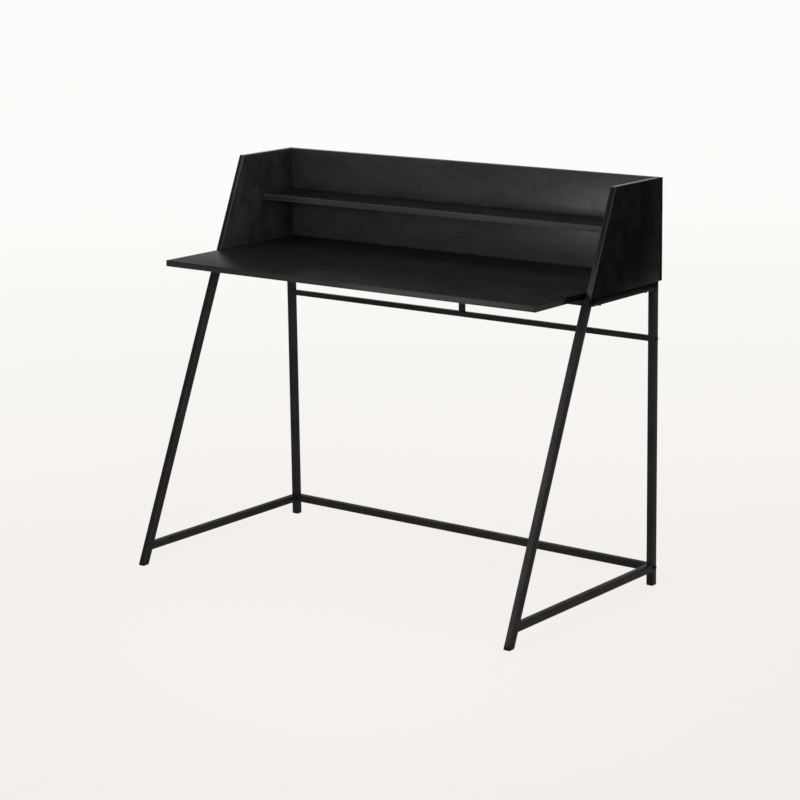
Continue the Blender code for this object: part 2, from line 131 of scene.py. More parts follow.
def pattern(tree, per_metre):
    """Object coordinates, stretched so that one unit is one repeat of the pattern along each axis."""
    place = add_node(tree, "TexCoord").outputs["Object"]
    return add_node(tree, "Mapping", {"Scale": per_metre}, Vector=place).outputs["Vector"]


def noise(tree, per_metre, detail=3.0, roughness=0.55):
    """Soft noise from 0 to 1, with so many repeats to the metre: one number, or one for each axis."""
    if isinstance(per_metre, float):
        per_metre = (per_metre, per_metre, per_metre)
    settings = {"Scale": 1.0, "Detail": detail, "Roughness": roughness}
    return add_node(tree, "TexNoise", settings, Vector=pattern(tree, per_metre)).outputs["Fac"]


print("patterns are in metres")

# %% Ranges of a value
NOISE_RANGE = (0.3, 0.7)    # nearly all of a noise lies between these two values


def spread(tree, value, low, high, to_low=0.0, to_high=1.0):
    """A value from low to high, clamped and moved to another range."""
    settings = {"From Min": low, "From Max": high, "To Min": to_low, "To Max": to_high}
    return add_node(tree, "MapRange", settings, Value=value).outputs["Result"]


def stretch(tree, value, to_low=0.0, to_high=1.0):
    """A noise pulled out to the whole of a range."""
    return spread(tree, value, *NOISE_RANGE, to_low, to_high)


print("a noise is read between", *NOISE_RANGE)


# %% Sums and colours
def calculate(tree, operation, first, second):
    """Two values put together; the second may be a plain number."""
    node = add_node(tree, "Math")
    node.operation = operation
    tree.links.new(first, node.inputs[0])
    if isinstance(second, float):
        node.inputs[1].default_value = second
    else:
        tree.links.new(second, node.inputs[1])
    return node.outputs[0]


def two_tones(tree, value, dark, light):
    """A colour between two, by a value from 0 to 1; each is a colour or another node's output."""
    node = tree.nodes.new("ShaderNodeMix")
    node.data_type = "RGBA"
    tree.links.new(value, node.inputs["Factor"])
    ends = [socket for socket in node.inputs if socket.type == "RGBA"]
    for end, colour in zip(ends, (dark, light)):
        if isinstance(colour, tuple):
            end.default_value = (*colour, 1.0)
        else:
            tree.links.new(colour, end)
    return next(socket for socket in node.outputs if socket.type == "RGBA")


print("a colour lies between a dark and a light one")


# %% Relief, and links to the shader
def relief(tree, height, distance, strength):
    """Bump normal from a height of 0 to 1 that stands so many metres proud."""
    settings = {"Strength": strength, "Distance": distance}
    return add_node(tree, "Bump", settings, Height=height).outputs["Normal"]


def wire(tree, shader, **sockets):
    """Link outputs to the shader's inputs: Base_Color, Roughness, Normal."""
    for key, socket in sockets.items():
        tree.links.new(socket, shader.inputs[key.replace("_", " ")])


print("relief is in metres too")

# %% [markdown]
# ## Pale floor and world
# The desk stands in a pale studio. The floor is one large plane, and the camera looks down on it, so no
# horizon shows. It could be lit until it is white, but that would put too much light on the desk. Instead
# the floor and the world show their own pale colour to camera, glossy and transmission rays. Near the desk
# the floor keeps a small part of its plain shading, which holds the shadow under the feet. The world is
# pale low down and dark overhead, like a studio with a dark ceiling, so that the worktop does not mirror a
# white sky all over. To every other ray it is a dim, even light.

# %% Rays that see the background
BACKGROUND_RAYS = ("Is Camera Ray", "Is Glossy Ray", "Is Transmission Ray")


def seen_rays(tree):
    """1 for the rays that show the background: from the camera, by a reflection or through glass."""
    rays = add_node(tree, "LightPath").outputs
    camera_ray, glossy_ray, glass_ray = (rays[name] for name in BACKGROUND_RAYS)
    shown = calculate(tree, "MAXIMUM", camera_ray, glossy_ray)
    return calculate(tree, "MAXIMUM", shown, glass_ray)


print("background shows to:", ", ".join(BACKGROUND_RAYS))

# %% Pale floor
FLOOR_HALF = 60.0
FLOOR_NEAR = (0.880, 0.840, 0.802)
FLOOR_FAR = (0.975, 0.972, 0.955)
FLOOR_FADE = (-4.0, 9.0)    # y minus x, in metres, from the near colour to the far one
GLOW_NEAR = 0.95            # part of the floor that shows its own pale colour, by the desk
GLOW_FAR = 1.0              # and well away from it, where no shadow falls
GLOW_FADE = (1.0, 3.0)      # metres from the desk's middle, from the one to the other


def make_floor():
    bpy.ops.object.select_all(action="DESELECT")
    bpy.ops.mesh.primitive_plane_add(size=2 * FLOOR_HALF)
    floor = bpy.context.active_object
    floor.name = "floor"
    material, tree, shader = new_finish("pale_studio_floor")
    shader.inputs["Roughness"].default_value = 1.0
    shader.inputs["Specular IOR Level"].default_value = 0.0
    place = pattern(tree, METRES)
    depth = add_node(tree, "SeparateXYZ", Vector=place).outputs
    away = calculate(tree, "SUBTRACT", depth["Y"], depth["X"])
    pale = two_tones(tree, spread(tree, away, *FLOOR_FADE), FLOOR_NEAR, FLOOR_FAR)
    wire(tree, shader, Base_Color=pale)
    glow = add_node(tree, "Emission", Color=pale).outputs[0]
    distance = add_node(tree, "VectorMath", Vector=place)
    distance.operation = "LENGTH"
    share = spread(tree, distance.outputs["Value"], *GLOW_FADE, GLOW_NEAR, GLOW_FAR)
    part = calculate(tree, "MULTIPLY", seen_rays(tree), share)
    mixed = add_node(tree, "MixShader", Fac=part)
    tree.links.new(shader.outputs[0], mixed.inputs[1])
    tree.links.new(glow, mixed.inputs[2])
    tree.links.new(mixed.outputs[0], tree.nodes["Material Output"].inputs["Surface"])
    floor.data.materials.append(material)


make_floor()
print("floor:", 2 * FLOOR_HALF, "m across")

# %% World
AMBIENT = (0.04, 0.04, 0.04)
DUSK = (0.38, 0.38, 0.37)
CEILING = (0.03, 0.03, 0.03)
SKY_STEPS = ((0.0, FLOOR_FAR), (0.14, FLOOR_FAR), (0.27, DUSK), (0.42, CEILING))    # by height


def make_world():
    world = bpy.data.worlds.new("pale_studio")
    world.use_nodes = True
    tree = world.node_tree
    towards = add_node(tree, "TexCoord").outputs["Generated"]
    height = add_node(tree, "SeparateXYZ", Vector=towards).outputs["Z"]
    sky = add_node(tree, "ValToRGB", Fac=height)
    while len(sky.color_ramp.elements) < len(SKY_STEPS):
        sky.color_ramp.elements.new(0.5)
    for step, (place, colour) in zip(sky.color_ramp.elements, SKY_STEPS):
        step.position = place
        step.color = (*colour, 1.0)
    colour = two_tones(tree, seen_rays(tree), AMBIENT, sky.outputs["Color"])
    tree.links.new(colour, tree.nodes["Background"].inputs["Color"])
    bpy.context.scene.world = world


make_world()
print("sky steps:", [place for place, colour in SKY_STEPS])

# %% [markdown]
# ## Lamps
# A few soft lamps would light the desk, but it is black, and on black most of what the eye sees is
# reflection. So the work is shared out. Some lamps only light, and glossy rays do not see them. Some only
# shine, and diffuse rays do not see them. Three do both, as real ones do. The brightness of a face and the
# sheen on it can then be set one without the other. The back and far side softboxes are for the views that
# the photograph does not show. The glow lamps and the corner light reach only a few pieces, which are
# chosen at the end. No two lamps are at quite the same place, because one would then lose its shine.

# %% Table of the lamps
LAMPS = {
    # name: place, point it looks at, width, height, power in watts, spread in degrees, work
    "key_softbox": ((0.65, -1.85, 1.47), (0.00, 0.20, 0.75), 0.40, 0.40, 30.0, 180.0, "light"),
    "low_softbox": ((0.20, -1.10, 0.82), (0.50, 0.28, 0.83), 0.45, 0.30, 9.5, 180.0, "light"),
    "panel_glow": ((0.20, -1.16, 0.72), (0.50, 0.28, 0.83), 0.45, 0.30, 33.0, 180.0, "shine"),
    "edge_glow": ((-0.50, -1.22, 0.66), (0.20, 0.10, 0.86), 0.80, 0.30, 1.3, 180.0, "shine"),
    "worktop_glow": ((-0.42, -1.28, 0.50), (0.15, -0.31, 0.71), 0.70, 0.30, 2.4, 180.0, "shine"),
    "leg_glow": ((-0.42, -1.40, 0.86), (0.53, -0.12, 0.34), 0.40, 1.00, 11.0, 180.0, "shine"),
    "corner_light": ((-0.80, -1.20, 0.84), (-0.45, 0.28, 0.80), 0.40, 0.40, 5.0, 180.0, "light"),
    "strip_glow": ((-0.32, -1.25, 1.25), (0.56, -0.08, 0.78), 0.40, 0.40, 3.0, 180.0, "shine"),
    "rail_glow": ((-1.20, 2.50, 0.85), (0.00, 0.00, 0.05), 1.20, 0.60, 0.6, 180.0, "shine"),
    "left_softbox": ((-1.40, -1.10, 1.90), (0.10, 0.10, 0.85), 0.30, 0.30, 4.0, 180.0, "both"),
    "top_softbox": ((0.80, 0.30, 2.40), (0.80, 0.30, 0.00), 0.80, 0.80, 13.0, 180.0, "both"),
    "side_spot": ((1.20, -1.20, 2.20), (-0.55, 0.05, 0.88), 0.50, 0.50, 0.9, 40.0, "light"),
    "rim_softbox": ((-2.00, 2.00, 1.60), (0.00, 0.00, 0.60), 0.80, 0.80, 1.6, 180.0, "both"),
    "back_softbox": ((-0.30, 2.70, 1.30), (0.00, 0.30, 0.60), 1.00, 1.00, 40.0, 180.0, "light"),
    "far_side_softbox": ((-2.50, 0.20, 0.90), (-0.50, 0.00, 0.60), 1.00, 1.00, 18.0, 180.0, "light"),
}
print("lamps that light, shine or do both:", len(LAMPS))


# %% Soft lamps
def make_lamp(name, place, target, width, height, power, beam, work):
    data = bpy.data.lights.new(name, "AREA")
    data.shape = "RECTANGLE"
    data.size = width
    data.size_y = height
    data.energy = power
    data.spread = math.radians(beam)
    lamp = bpy.data.objects.new(name, data)
    lamp.location = place
    lamp.rotation_euler = (Vector(target) - Vector(place)).to_track_quat("-Z", "Y").to_euler()
    lamp.visible_glossy = work != "light"
    lamp.visible_diffuse = work != "shine"
    bpy.context.scene.collection.objects.link(lamp)


for lamp_name, lamp_row in LAMPS.items():
    make_lamp(lamp_name, *lamp_row)
print("lamps:", ", ".join(LAMPS))

# %% [markdown]
# ## Black flag
# The outer face of the right-hand panel is almost black in the picture, although the studio is pale: it
# must mirror something dark. Photographers do this on purpose with a black board, called a flag, to keep a
# dark surface dark. The one here stands close beside the panel and ends just below it, so that the legs and
# rails further down still mirror the pale floor. It shows only in reflections, so it throws no shadow and
# hides nothing.

# %% A black board beside the right-hand panel
QUARTER_TURN = math.radians(90.0)
FLAG_PLACE = (0.59, 0.285, 0.910)
FLAG_TURN = (0.0, QUARTER_TURN, 0.0)
FLAG_WIDTH = 0.63
FLAG_HEIGHT = 0.40


def make_flag():
    bpy.ops.object.select_all(action="DESELECT")
    bpy.ops.mesh.primitive_plane_add(size=1.0, location=FLAG_PLACE, rotation=FLAG_TURN)
    flag = bpy.context.active_object
    flag.name = "black_flag"
    flag.scale = (FLAG_HEIGHT, FLAG_WIDTH, 1.0)
    material, tree, shader = new_finish("black_velvet")
    weave = noise(tree, 900.0, detail=2.0)
    wire(tree, shader,
         Base_Color=two_tones(tree, weave, dark=(0.002, 0.002, 0.002), light=(0.006, 0.006, 0.006)))
    shader.inputs["Roughness"].default_value = 1.0
    shader.inputs["Specular IOR Level"].default_value = 0.0
    flag.data.materials.append(material)
    flag.visible_camera = False
    flag.visible_diffuse = False
    flag.visible_shadow = False
    flag.visible_transmission = False


make_flag()
print("flag:", FLAG_WIDTH, "by", FLAG_HEIGHT, "m")

# %% [markdown]
# ## Black laminate
# The boards are chipboard under a black printed foil with a pressed wood grain: long faint streaks, short
# open pores, and a soft cloudiness and mottle where the foil takes up light unevenly. A photograph of the
# foil could be wrapped round each board, but noise needs no picture. Four noises make it: one drawn out
# along the grain for the streaks, a coarse round one for the clouds, a finer one for the mottle, and the
# finest, cut at a threshold, for the pores. Their sum is a tone that steers colour and roughness, and the
# streaks and pores alone make the relief.

# %% Scales of the grain
STREAKS = (4.0, 190.0)      # repeats to the metre, along the grain and across it
CLOUDS = (13.0, 21.0)
MOTTLE = (64.0, 92.0)
PORES = (55.0, 1100.0)


def along(axis, along_value, across_value):
    """Three numbers with one value along an axis and another across it."""
    return [along_value if i == axis else across_value for i in range(3)]


print("streaks along the width:", along(0, *STREAKS), "to the metre")

# %% Laminate with its grain along a chosen axis
FOIL_DARK = (0.0072, 0.0071, 0.0070)
FOIL_LIGHT = (0.0228, 0.0225, 0.0222)
MOTTLE_RANGE = (0.36, 0.64)     # values of its noise that go from dark to light
PORE_RANGE = (0.60, 0.70)   # a pore starts at the first value of its noise and is deepest at the second
CLOUD_TONE = 0.46           # part of the tone that the clouds make
PORE_TONE = 0.25            # and that the pores take away
STREAK_HEIGHT = 0.35        # part of the relief that the streaks make
PORE_DEPTH = 0.6            # and that the pores take away


def laminate(name, grain, evenness, streaking, mottling):
    material, tree, shader = new_finish(name)
    streaks = stretch(tree, noise(tree, along(grain, *STREAKS), detail=5.0, roughness=0.6))
    clouds = noise(tree, along(grain, *CLOUDS), detail=4.0, roughness=0.55)
    clouds = spread(tree, clouds, 0.5 - evenness, 0.5 + evenness)
    mottle = noise(tree, along(grain, *MOTTLE), detail=3.0, roughness=0.5)
    mottle = spread(tree, mottle, *MOTTLE_RANGE)
    pores = spread(tree, noise(tree, along(grain, *PORES), detail=2.0), *PORE_RANGE)
    tone = calculate(tree, "MULTIPLY", clouds, CLOUD_TONE)
    tone = calculate(tree, "ADD", tone, calculate(tree, "MULTIPLY", streaks, streaking))
    tone = calculate(tree, "ADD", tone, calculate(tree, "MULTIPLY", mottle, mottling))
    tone = calculate(tree, "SUBTRACT", tone, calculate(tree, "MULTIPLY", pores, PORE_TONE))
    pressed = calculate(tree, "MULTIPLY", streaks, STREAK_HEIGHT)
    height = calculate(tree, "SUBTRACT", pressed, calculate(tree, "MULTIPLY", pores, PORE_DEPTH))
    wire(tree, shader,
         Base_Color=two_tones(tree, tone, FOIL_DARK, FOIL_LIGHT),
         Roughness=spread(tree, tone, 0.0, 1.0, to_low=0.44, to_high=0.40),
         Normal=relief(tree, height, distance=0.00012, strength=0.5))
    shader.inputs["Specular IOR Level"].default_value = 0.08
    return material


foil_along_width = laminate("black_laminate_along_width", 0, evenness=0.24, streaking=0.20, mottling=0.24)
foil_upright = laminate("black_laminate_upright", 2, evenness=0.10, streaking=0.08, mottling=0.36)
print("laminate:", foil_along_width.name, foil_upright.name)

# %% [markdown]
# ## Edge band
# Cut board edges are closed with a strip of black plastic, ironed on and rounded over with a cutter. It is
# smoother than the foil, so it catches a thin bright line, and a paler grey is painted on its rounded
# corners as a painted highlight that stays in every view. It could share the laminate's finish, but then
# that line would be as dull as the faces, so it has its own: a fine draw mark and a lower roughness. Noise
# cannot know where the corners are, so an attribute of the strip's own faces marks the painted highlight.

# %% Edge band plastic
# name of the face attribute that marks where a band's corners get a painted highlight
PAINTED_BAND_HIGHLIGHT = "painted_band_highlight"
# grey of the painted highlight on the bands' corners
BAND_HIGHLIGHT_GREY = (0.034, 0.0337, 0.0334)


def face_mark(tree, name):
    """The value of a face attribute, written when the piece is modelled."""
    mark = add_node(tree, "Attribute")
    mark.attribute_name = name
    return mark.outputs["Fac"]


def band_plastic(name):
    material, tree, shader = new_finish(name)
    haze = noise(tree, 40.0, detail=3.0)
    drawn = noise(tree, 260.0, detail=2.0)
    # the marked corners, where the painted highlight grey goes
    corner = face_mark(tree, PAINTED_BAND_HIGHLIGHT)
    flat = two_tones(tree, haze, dark=(0.0042, 0.0042, 0.0042), light=(0.0085, 0.0084, 0.0083))
    wire(tree, shader,
         Base_Color=two_tones(tree, corner, flat, BAND_HIGHLIGHT_GREY),
         Roughness=stretch(tree, haze, to_low=0.24, to_high=0.27),
         Normal=relief(tree, drawn, distance=0.00001, strength=0.5))
    shader.inputs["Specular IOR Level"].default_value = 0.14
    return material


edge_plastic = band_plastic("black_edge_band")
print("edge band:", edge_plastic.name)

# %% [markdown]
# ## Powder coat
# The tubes are sprayed with black powder that melts into a satin skin with a slight orange peel, one or two
# millimetres across. It could be smooth paint, but then the long flat tubes would mirror the studio in
# clean stripes. A fine noise lifts the skin by a few hundredths of a millimetre and breaks the reflection
# up. A paler grey is painted along the corners of the tubes in patches as a painted highlight, and a face
# attribute marks them, as on the edge bands.

# %% Powder coat on steel
# name of the face attribute that marks the tubes' corners for a painted highlight
PAINTED_TUBE_HIGHLIGHT = "painted_tube_highlight"
COAT_DARK = (0.0060, 0.0060, 0.0061)
COAT_LIGHT = (0.0125, 0.0125, 0.0127)
# grey of the painted highlight along the tubes' corners
COAT_HIGHLIGHT_GREY = (0.028, 0.028, 0.0283)
SPECK_RANGE = (0.62, 0.72)  # a speck starts at the first value of its noise and is full at the second
SPECK_HEIGHT = 0.25         # of the specks, next to the orange peel
PATCH_RANGE = (0.35, 0.65)  # values of a noise that go from a faint painted highlight on a corner to a full one


def powder_coat(name):
    material, tree, shader = new_finish(name)
    peel = noise(tree, 620.0, detail=2.0, roughness=0.45)
    drift = noise(tree, 11.0, detail=3.0)
    specks = spread(tree, noise(tree, 2300.0, detail=1.0), *SPECK_RANGE)
    height = calculate(tree, "ADD", peel, calculate(tree, "MULTIPLY", specks, SPECK_HEIGHT))
    # the painted highlight on the marked corners, broken into patches
    patches = spread(tree, noise(tree, 24.0, detail=3.0), *PATCH_RANGE, to_low=0.35, to_high=1.0)
    tube_highlight = calculate(tree, "MULTIPLY", face_mark(tree, PAINTED_TUBE_HIGHLIGHT), patches)
    flat = two_tones(tree, stretch(tree, drift), COAT_DARK, COAT_LIGHT)
    wire(tree, shader,
         Base_Color=two_tones(tree, tube_highlight, flat, COAT_HIGHLIGHT_GREY),
         Roughness=stretch(tree, drift, to_low=0.42, to_high=0.33),
         Normal=relief(tree, height, distance=0.00006, strength=0.6))
    shader.inputs["Specular IOR Level"].default_value = 0.075
    return material


coat = powder_coat("black_powder_coat")
print("powder coat:", coat.name)

# %% [markdown]
# ## Plastic, dark steel, zinc and beech
# The feet and the plug are moulded plastic with a sparked, matt skin. The frame bolts and the screws under
# the rails are blackened steel, the screws behind the back panel and the threaded blocks are zinc plated,
# and the dowels are beech. Plain colours would do for pieces this small, but each is seen close when the
# part is reused, so each has the grain of its own making: spark marks, an oily black bloom, plated crystals
# and long wood fibres.

# %% Moulded plastic
def moulded_plastic(name):
    material, tree, shader = new_finish(name)
    sparks = noise(tree, 1500.0, detail=2.0)
    flow = noise(tree, 60.0, detail=2.0)
    wire(tree, shader,
         Base_Color=two_tones(tree, flow, dark=(0.0040, 0.0040, 0.0040), light=(0.0080, 0.0080, 0.0080)),
         Roughness=stretch(tree, flow, to_low=0.52, to_high=0.64),
         Normal=relief(tree, sparks, distance=0.00005, strength=0.6))
    shader.inputs["Specular IOR Level"].default_value = 0.12
    return material


foot_plastic = moulded_plastic("black_foot_plastic")
print("plastic:", foot_plastic.name)


# %% Blackened steel
def black_steel(name):
    material, tree, shader = new_finish(name)
    bloom = noise(tree, 320.0, detail=4.0)
    turning = noise(tree, 1800.0, detail=2.0)
    wire(tree, shader,
         Base_Color=two_tones(tree, bloom, dark=(0.009, 0.009, 0.010), light=(0.022, 0.022, 0.024)),
         Roughness=stretch(tree, bloom, to_low=0.32, to_high=0.46),
         Normal=relief(tree, turning, distance=0.00002, strength=0.4))
    shader.inputs["Metallic"].default_value = 0.85
    return material


bolt_steel = black_steel("black_oxide_steel")
print("dark steel:", bolt_steel.name)


# %% Zinc plate
def zinc_plate(name):
    material, tree, shader = new_finish(name)
    crystals = noise(tree, 700.0, detail=4.0, roughness=0.6)
    wire(tree, shader,
         Base_Color=two_tones(tree, crystals, dark=(0.46, 0.47, 0.49), light=(0.68, 0.69, 0.70)),
         Roughness=stretch(tree, crystals, to_low=0.42, to_high=0.28),
         Normal=relief(tree, crystals, distance=0.00002, strength=0.4))
    shader.inputs["Metallic"].default_value = 1.0
    return material


screw_zinc = zinc_plate("zinc_plated_steel")
print("zinc:", screw_zinc.name)


# %% Beech
def beech(name):
    material, tree, shader = new_finish(name)
    fibres = noise(tree, (90.0, 900.0, 900.0), detail=4.0)
    wire(tree, shader,
         Base_Color=two_tones(tree, fibres, dark=(0.42, 0.26, 0.14), light=(0.66, 0.46, 0.29)),
         Roughness=stretch(tree, fibres, to_low=0.70, to_high=0.55),
         Normal=relief(tree, fibres, distance=0.00008, strength=0.6))
    return material


dowel_beech = beech("beech_dowel")
print("beech:", dowel_beech.name)

# %% [markdown]
# ## Modelling helpers
# Each piece starts as a box or a cylinder at its real size and place, and is then shaped in edit mode. A
# mouse would pick edges and faces one by one. Here a small test picks them by their direction or place,
# which gives the same result each run. Everything is deselected first, because an operator works on all
# that is selected.

# %% Start a piece
def deselect_all():
    bpy.ops.object.select_all(action="DESELECT")


def settle(piece, name):
    """Name a new piece and move its place, turn and size into its mesh."""
    piece.name = name
    piece.data.name = name
    bpy.ops.object.transform_apply(location=True, rotation=True, scale=True)
    return piece


def start_box(name, low, high):
    """A box between two corners."""
    deselect_all()
    size = [h - l for l, h in zip(low, high)]
    middle = [(h + l) / 2 for l, h in zip(low, high)]
    bpy.ops.mesh.primitive_cube_add(size=1.0, location=middle, scale=size)
    return settle(bpy.context.active_object, name)


print("pieces start as boxes or cylinders")

# %% Pick parts of a piece
AXES = [Vector((1.0, 0.0, 0.0)), Vector((0.0, 1.0, 0.0)), Vector((0.0, 0.0, 1.0))]
SAME_RUN = 0.99             # cosine above which an edge runs along a direction
SAME_FACING = 0.999         # and above which a face looks in a direction


def pick(piece, kind, test):
    """In edit mode, select only the faces or edges that pass a test."""
    bpy.context.view_layer.objects.active = piece
    bpy.ops.object.mode_set(mode="EDIT")
    bpy.ops.mesh.select_mode(type=kind)
    bpy.ops.mesh.select_all(action="DESELECT")
    mesh = bmesh.from_edit_mesh(piece.data)
    for item in mesh.faces if kind == "FACE" else mesh.edges:
        item.select_set(test(item))
    bmesh.update_edit_mesh(piece.data)


def pick_all(piece):
    bpy.context.view_layer.objects.active = piece
    bpy.ops.object.mode_set(mode="EDIT")
    bpy.ops.mesh.select_all(action="SELECT")


def leave_edit():
    bpy.ops.object.mode_set(mode="OBJECT")


def runs_along(edge, direction):
    start, end = (vert.co for vert in edge.verts)
    return abs((end - start).normalized().dot(direction)) > SAME_RUN


def faces_towards(face, direction):
    return face.normal.dot(direction) > SAME_FACING


print("an edge may stray by", round(math.degrees(math.acos(SAME_RUN)), 1), "degrees")

# %% Finish a piece
SMOOTH_ANGLE = math.radians(35.0)


def finish_piece(piece, material, slot, *nodes):
    """Smooth the rounded corners, give the finish, and tie the piece to the desk's one body."""
    pick_all(piece)
    bpy.ops.mesh.normals_make_consistent(inside=False)
    leave_edit()
    deselect_all()
    piece.select_set(True)
    bpy.ops.object.shade_smooth_by_angle(angle=SMOOTH_ANGLE)
    piece.data.materials.clear()
    piece.data.materials.append(material)
    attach(piece, "root")
    if nodes:
        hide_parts(*nodes)


def millimetres(size):
    """A size in metres, in millimetres for printing."""
    return [round(1000 * length, 1) for length in size]


print("corners are smooth up to", round(math.degrees(SMOOTH_ANGLE)), "degrees")

# %% [markdown]
# ## Tubes of the frame
# The frame is 18 mm square tube with rounded corners; the upper rear rail and its post are 13 mm. A CAD
# tube could be kept, but its corners are coarse. A box with its long edges bevelled in five steps gives
# each corner a round highlight. Both ends are then inset by the wall and bridged, which bores the tube from
# end to end as the real one is. The faces of the corners are marked for the powder coat's painted
# highlight.

# %% Rounding, boring and marking
CORNER_STEPS = 5
FULL_HIGHLIGHT_SQUARE = 0.25            # the square below, for a face half way between two flat sides


def round_edges(piece, test, radius, steps=CORNER_STEPS):
    """Bevel the edges that pass a test."""
    pick(piece, "EDGE", test)
    bpy.ops.mesh.bevel(offset=radius, offset_type="OFFSET", segments=steps, profile=0.5, affect="EDGES")


def bore_through(piece, low_end, high_end, wall):
    """Open a tube from end to end: inset the two faces that look in these directions and bridge them."""
    pick(piece, "FACE", lambda face: faces_towards(face, low_end) or faces_towards(face, high_end))
    bpy.ops.mesh.inset(thickness=wall, use_even_offset=True)
    bpy.ops.mesh.bridge_edge_loops()


def mark_tube_highlight(piece, first_side, second_side):
    """Mark a tube's rounded corners for a painted highlight, most where a face looks half way between two
    flat sides.
    """
    worn = piece.data.attributes.new(PAINTED_TUBE_HIGHLIGHT, "FLOAT", "FACE")
    for face, mark in zip(piece.data.polygons, worn.data):
        mark.value = (face.normal.dot(first_side) * face.normal.dot(second_side)) ** 2 / FULL_HIGHLIGHT_SQUARE


print("tube corners:", CORNER_STEPS, "steps")

# %% Straight tubes
TUBE_CORNER = 0.002
TUBE_WALL = 0.0012
BAR_CORNER = 0.0015
BAR_WALL = 0.001


def straight_tube(name, low, high, axis, corner, wall):
    piece = start_box(name, low, high)
    round_edges(piece, lambda edge: runs_along(edge, AXES[axis]), corner)
    bore_through(piece, -AXES[axis], AXES[axis], wall)
    leave_edit()
    mark_tube_highlight(piece, AXES[axis - 1], AXES[axis - 2])
    return piece


STRAIGHT_TUBES = {
    # node: axis, corner, wall
    "left_rear_leg": (2, TUBE_CORNER, TUBE_WALL),
    "right_rear_leg": (2, TUBE_CORNER, TUBE_WALL),
    "front_cross_rail": (0, TUBE_CORNER, TUBE_WALL),
    "rear_lower_rail": (0, TUBE_CORNER, TUBE_WALL),
    "rear_upper_rail": (0, BAR_CORNER, BAR_WALL),
    "rear_centre_post": (2, BAR_CORNER, BAR_WALL),
}
for node_name, (tube_axis, tube_corner, tube_wall) in STRAIGHT_TUBES.items():
    tube_low, tube_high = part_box(node_name)
    tube = straight_tube("coated_" + node_name, tube_low, tube_high, tube_axis, tube_corner, tube_wall)
    finish_piece(tube, coat, "frame_coating", node_name)
print("straight tubes:", len(STRAIGHT_TUBES))

# %% [markdown]
# ## Raked front legs
# The front legs lean back by 23 degrees and are cut level at floor and worktop. A straight box could be
# pushed over, but that thins the tube. So a longer box is turned to the rake, its corners are rounded, and
# two level cuts (bisect with fill) take the ends off, as a saw would.

# %% Front legs
LEG_RAKE = math.radians(23.0)       # lean of the front legs and of the side panels' front edges
RAKE_AXIS = Vector((0.0, math.sin(LEG_RAKE), math.cos(LEG_RAKE)))
RAKE_NORMAL = Vector((0.0, math.cos(LEG_RAKE), -math.sin(LEG_RAKE)))
LEG_BLANK = 1.3             # length of the uncut leg, as a part of the finished one's


def start_raked_box(name, middle, size):
    """A box that leans back like a front leg."""
    deselect_all()
    bpy.ops.mesh.primitive_cube_add(size=1.0, location=middle, rotation=(-LEG_RAKE, 0.0, 0.0), scale=size)
    return settle(bpy.context.active_object, name)


def cut_away(piece, point, normal, keep_front):
    """Saw a piece along a plane, close the cut, and keep one side of it."""
    pick_all(piece)
    bpy.ops.mesh.bisect(plane_co=point, plane_no=normal, use_fill=True,
                        clear_inner=keep_front, clear_outer=not keep_front)


def raked_leg(name, low, high):
    tube_size = high[0] - low[0]
    long_side = LEG_BLANK * (high[2] - low[2]) / math.cos(LEG_RAKE)
    middle = [(h + l) / 2 for l, h in zip(low, high)]
    piece = start_raked_box(name, middle, (tube_size, tube_size, long_side))
    round_edges(piece, lambda edge: runs_along(edge, RAKE_AXIS), TUBE_CORNER)
    cut_away(piece, (0.0, 0.0, low[2]), AXES[2], True)
    cut_away(piece, (0.0, 0.0, high[2]), AXES[2], False)
    bore_through(piece, -AXES[2], AXES[2], TUBE_WALL)
    leave_edit()
    mark_tube_highlight(piece, AXES[0], RAKE_NORMAL)
    return piece


for side in ("left", "right"):
    node_name = side + "_front_leg"
    leg_low, leg_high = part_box(node_name)
    leg = raked_leg("coated_" + node_name, leg_low, leg_high)
    finish_piece(leg, coat, "frame_coating", node_name)
print("front legs: 2, each in a box of", millimetres(leg_high - leg_low), "mm")

# %% [markdown]
# ## Side rails
# Two rails are welded between each front leg and the rear leg behind it. Their front ends are mitred to the
# leg's slope. The mitre could be made by sliding the end's corners, but a cut along the leg's own rear
# plane is exact. The CAD solids keep a small gap at each weld. It is closed here, because a welded joint
# has none.

# %% Rails with a mitred front end
WELD_GAP = 0.0003           # gap that the CAD solids leave at a weld
MITRE_WASTE = 0.03          # length of the blank ahead of the mitre


def mitred_rail(name, low, high):
    blank_low = (low[0], low[1] - MITRE_WASTE, low[2])
    piece = start_box(name, blank_low, (high[0], high[1] + WELD_GAP, high[2]))
    round_edges(piece, lambda edge: runs_along(edge, AXES[1]), TUBE_CORNER)
    joint = Vector((0.0, low[1], low[2])) - RAKE_NORMAL * WELD_GAP
    cut_away(piece, joint, RAKE_NORMAL, True)
    bore_through(piece, -RAKE_NORMAL, AXES[1], TUBE_WALL)
    leave_edit()
    mark_tube_highlight(piece, AXES[0], AXES[2])
    return piece


for side in ("left", "right"):
    for level in ("top", "lower"):
        node_name = f"{side}_{level}_rail"
        rail = mitred_rail("coated_" + node_name, *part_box(node_name))
        finish_piece(rail, coat, "frame_coating", node_name)
print("side rails: 4, mitred at", round(math.degrees(LEG_RAKE), 1), "degrees")

# %% [markdown]
# ## Weld beads
# Where a rail meets a leg, a short bead of weld fills the inner corner, under the powder coat. It could be
# a smooth fillet, but a real bead is a row of overlapped ripples. A thin cylinder is cut into rings, every
# other ring is drawn in, and a subdivision surface melts the rings together. One bead is modelled and then
# copied.

